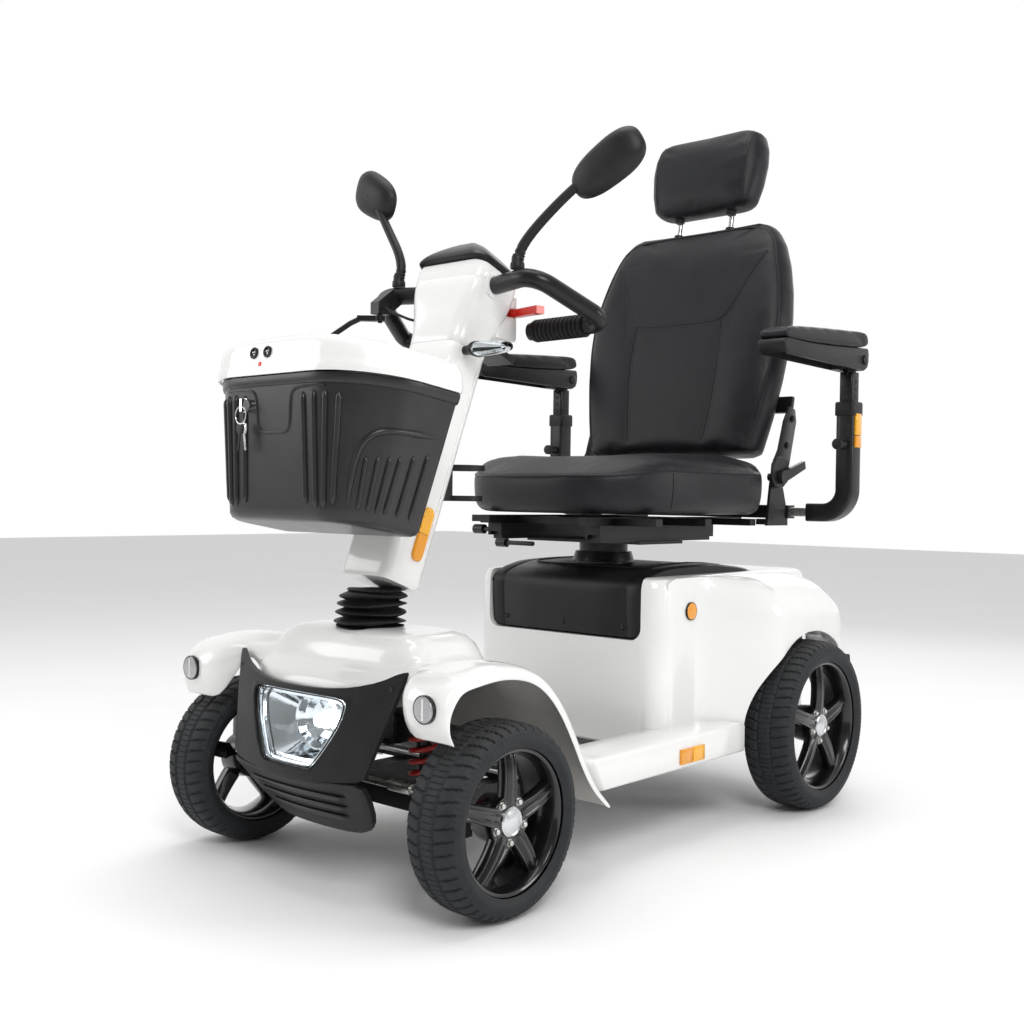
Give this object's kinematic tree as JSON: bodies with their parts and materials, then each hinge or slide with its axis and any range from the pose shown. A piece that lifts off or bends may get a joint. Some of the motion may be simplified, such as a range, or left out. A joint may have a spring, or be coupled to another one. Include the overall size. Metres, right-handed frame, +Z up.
{
  "type": "mobility scooter",
  "caption": "Mobility scooter with swivel seat, headrest, flip-up armrests, lidded front basket, loop handlebar, mirrors and sprung front axle",
  "frame": {"origin": "centre of the bounding box on the ground", "axes": "+X to the rider's left, +Y to the rear, +Z up; the scooter faces -Y"},
  "size_m": [0.83, 1.3362, 1.4741],
  "materials": {
    "white_shell": "glossy white moulded panels",
    "black_plastic": "fine-textured satin black moulded plastic",
    "black_satin": "smooth satin black plastic",
    "grey_liner": "unpainted inner side of the fenders",
    "frame_steel": "black powder-coated steel",
    "bright_steel": "zinc-plated steel",
    "tyre": "black rubber with block tread",
    "rim": "gloss black alloy",
    "chrome": "polished chrome",
    "silver": "satin aluminium",
    "vinyl": "black grained leatherette",
    "stitching": "dark thread",
    "rubber": "ribbed black rubber",
    "floor_rubber": "dark grey ribbed floor rubber",
    "amber": "amber reflector lens",
    "reflector_grey": "grey prismatic reflector",
    "red_lens": "red lamp lens",
    "clear_lens": "clear lamp lens",
    "lamp_reflector": "bright faceted reflector",
    "spring_red": "red coated spring wire",
    "red_plastic": "red moulded lever",
    "battery": "sealed battery case",
    "mirror_glass": "mirror glass",
    "bulb": "lit headlight bulb"
  },
  "bodies": {
    "chassis": {"chassis_frame": "frame_steel", "front_shell": "white_shell", "deck_shell": "white_shell", "floor_mat": "floor_rubber", "rear_shell": "white_shell", "front_mask": "black_plastic", "front_bumper": "black_plastic", "headlight_lens": "clear_lens", "headlight_reflector": "lamp_reflector", "lights_and_reflectors": "amber", "seat_box_cover": "black_plastic", "batteries": "battery", "transaxle": "bright_steel", "front_springs": "spring_red"},
    "steering_column": {"steering_column": "bright_steel", "bellows": "rubber"},
    "front_axle": {"front_axle": "frame_steel"},
    "knuckle_left": {"knuckle_left": "frame_steel"},
    "knuckle_right": {"knuckle_right": "frame_steel"},
    "track_rod": {"track_rod": "bright_steel"},
    "tiller": {"tiller_column": "white_shell", "tiller_head": "white_shell", "console_hood": "black_plastic", "handlebar": "black_satin", "grips": "rubber", "cup_holder": "black_plastic", "tiller_reflectors": "amber", "indicators": "clear_lens", "brake_cable": "rubber", "basket_tub": "black_plastic"},
    "seat": {"seat_frame": "frame_steel", "seat_cushion": "vinyl"},
    "backrest": {"backrest": "vinyl", "back_frame": "frame_steel"},
    "front_wheel_left": {"front_tyre_left": "tyre", "front_rim_left": "rim"},
    "rear_wheel_left": {"rear_tyre_left": "tyre", "rear_rim_left": "rim"},
    "front_wheel_right": {"front_tyre_right": "tyre", "front_rim_right": "rim"},
    "rear_wheel_right": {"rear_tyre_right": "tyre", "rear_rim_right": "rim"},
    "throttle_lever": {"throttle_lever": "red_plastic"},
    "brake_lever": {"brake_lever": "black_satin"},
    "mirror_left": {"mirror_left": "black_satin"},
    "mirror_right": {"mirror_right": "black_satin"},
    "tilt_paddle": {"tilt_paddle": "black_satin"},
    "basket_lid": {"basket_lid": "white_shell"},
    "lock_key": {"lock_key": "chrome"},
    "speed_dial": {"speed_dial": "black_satin"},
    "horn_button": {"horn_button": "black_satin"},
    "seat_base": {"seat_base": "frame_steel"},
    "slide_lever": {"slide_lever": "frame_steel"},
    "swivel_lever": {"swivel_lever": "frame_steel"},
    "recline_lever": {"recline_lever": "frame_steel"},
    "headrest": {"headrest": "vinyl"},
    "arm_post_left": {"arm_post_left": "black_plastic"},
    "arm_post_right": {"arm_post_right": "black_plastic"},
    "arm_pad_left": {"arm_pad_left": "vinyl"},
    "arm_pad_right": {"arm_pad_right": "vinyl"}
  },
  "joints": [
    {"name": "steering", "type": "hinge", "parent": "chassis", "child": "steering_column", "pos_m": [0, -0.45, 0.3], "axis": [0, 0, 1], "range_deg": [-30, 30]},
    {"name": "front_suspension", "type": "slide", "parent": "chassis", "child": "front_axle", "axis": [0, 0, 1], "range_m": [-0.008, 0.018], "stiffness_N_per_m": 60000, "springref_m": -0.0125, "deforming": ["front_springs"]},
    {"name": "front_steer_left", "type": "hinge", "parent": "front_axle", "child": "knuckle_left", "pos_m": [0.24, -0.464, 0.147], "axis": [0, 0, 1], "range_deg": [-30, 30]},
    {"name": "front_steer_right", "type": "hinge", "parent": "front_axle", "child": "knuckle_right", "pos_m": [-0.24, -0.464, 0.147], "axis": [0, 0, 1], "range_deg": [-30, 30]},
    {"name": "track_rod_pivot", "type": "hinge", "parent": "knuckle_left", "child": "track_rod", "pos_m": [0.24, -0.529, 0.181], "axis": [0, 0, 1], "range_deg": [-30, 30]},
    {"name": "front_wheel_left_spin", "type": "hinge", "parent": "knuckle_left", "child": "front_wheel_left", "pos_m": [0.305, -0.464, 0.147], "axis": [1, 0, 0], "continuous": true},
    {"name": "rear_wheel_left_spin", "type": "hinge", "parent": "chassis", "child": "rear_wheel_left", "pos_m": [0.3275, 0.464, 0.172], "axis": [1, 0, 0], "continuous": true},
    {"name": "front_wheel_right_spin", "type": "hinge", "parent": "knuckle_right", "child": "front_wheel_right", "pos_m": [-0.305, -0.464, 0.147], "axis": [1, 0, 0], "continuous": true},
    {"name": "rear_wheel_right_spin", "type": "hinge", "parent": "chassis", "child": "rear_wheel_right", "pos_m": [-0.3275, 0.464, 0.172], "axis": [1, 0, 0], "continuous": true},
    {"name": "tiller_tilt", "type": "hinge", "parent": "steering_column", "child": "tiller", "pos_m": [0, -0.443, 0.452], "axis": [1, 0, 0], "range_deg": [-18, 15], "deforming": ["bellows"]},
    {"name": "throttle", "type": "hinge", "parent": "tiller", "child": "throttle_lever", "pos_m": [0, -0.16, 0.963], "axis": [0, 0, 1], "range_deg": [-9, 9], "stiffness_Nm_per_rad": 1.5},
    {"name": "brake", "type": "hinge", "parent": "tiller", "child": "brake_lever", "pos_m": [-0.148, -0.298, 0.956], "axis": [0, 0, -1], "range_deg": [0, 11], "stiffness_Nm_per_rad": 2, "springref_deg": -2.86},
    {"name": "mirror_left_turn", "type": "hinge", "parent": "tiller", "child": "mirror_left", "pos_m": [0.148, -0.252, 1.0205], "axis": [0, 0, 1], "range_deg": [-35, 35]},
    {"name": "mirror_right_turn", "type": "hinge", "parent": "tiller", "child": "mirror_right", "pos_m": [-0.148, -0.252, 1.0205], "axis": [0, 0, 1], "range_deg": [-35, 35]},
    {"name": "paddle", "type": "hinge", "parent": "tiller", "child": "tilt_paddle", "pos_m": [0, -0.177, 0.903], "axis": [1, 0, 0], "range_deg": [-14, 0], "stiffness_Nm_per_rad": 2, "springref_deg": 11.46},
    {"name": "lid", "type": "hinge", "parent": "tiller", "child": "basket_lid", "pos_m": [0, -0.446, 0.7884], "axis": [-1, 0, 0], "range_deg": [0, 80]},
    {"name": "key_turn", "type": "hinge", "parent": "tiller", "child": "lock_key", "pos_m": [-0.062, -0.65, 0.768], "axis": [0, -1, 0], "range_deg": [0, 90]},
    {"name": "speed_dial_turn", "type": "hinge", "parent": "tiller", "child": "speed_dial", "pos_m": [-0.034, -0.1779, 1.0409], "axis": [0, 0.8669, 0.4985], "range_deg": [-135, 135]},
    {"name": "horn_push", "type": "slide", "parent": "tiller", "child": "horn_button", "axis": [0, -0.8669, -0.4985], "range_m": [0, 0.002], "stiffness_N_per_m": 1200, "springref_m": -0.0005},
    {"name": "seat_swivel", "type": "hinge", "parent": "chassis", "child": "seat_base", "pos_m": [0, 0.2, 0.52], "axis": [0, 0, 1], "range_deg": [-34, 34]},
    {"name": "seat_slide", "type": "slide", "parent": "seat_base", "child": "seat", "axis": [0, 1, 0], "range_m": [-0.06, 0.06]},
    {"name": "slide_lever_lift", "type": "hinge", "parent": "seat", "child": "slide_lever", "pos_m": [-0.15, 0.056, 0.562], "axis": [0, 1, 0], "range_deg": [0, 4], "stiffness_Nm_per_rad": 6, "springref_deg": -5.73},
    {"name": "swivel_lever_lift", "type": "hinge", "parent": "seat_base", "child": "swivel_lever", "pos_m": [-0.15, 0.15, 0.531], "axis": [0, 1, 0], "range_deg": [0, 8], "stiffness_Nm_per_rad": 6, "springref_deg": -5.73},
    {"name": "recline", "type": "hinge", "parent": "seat", "child": "backrest", "pos_m": [0, 0.462, 0.68], "axis": [1, 0, 0], "range_deg": [-20, 0]},
    {"name": "recline_lever_lift", "type": "hinge", "parent": "seat", "child": "recline_lever", "pos_m": [0.265, 0.462, 0.68], "axis": [1, 0, 0], "range_deg": [0, 20], "stiffness_Nm_per_rad": 4, "springref_deg": -11.46},
    {"name": "headrest_height", "type": "slide", "parent": "backrest", "child": "headrest", "axis": [0, 0.2079, 0.9781], "range_m": [0, 0.06]},
    {"name": "arm_width_left", "type": "slide", "parent": "seat", "child": "arm_post_left", "axis": [1, 0, 0], "range_m": [0, 0.05]},
    {"name": "arm_flip_left", "type": "hinge", "parent": "arm_post_left", "child": "arm_pad_left", "pos_m": [0.384, 0.532, 0.922], "axis": [-1, 0, 0], "range_deg": [0, 95]},
    {"name": "arm_width_right", "type": "slide", "parent": "seat", "child": "arm_post_right", "axis": [-1, 0, 0], "range_m": [0, 0.05]},
    {"name": "arm_flip_right", "type": "hinge", "parent": "arm_post_right", "child": "arm_pad_right", "pos_m": [-0.384, 0.532, 0.922], "axis": [-1, 0, 0], "range_deg": [0, 95]}
  ],
  "couplings": [
    {"joint": "front_steer_left", "follows": "steering", "ratio": 1},
    {"joint": "front_steer_right", "follows": "steering", "ratio": 1},
    {"joint": "track_rod_pivot", "follows": "steering", "ratio": -1}
  ]
}
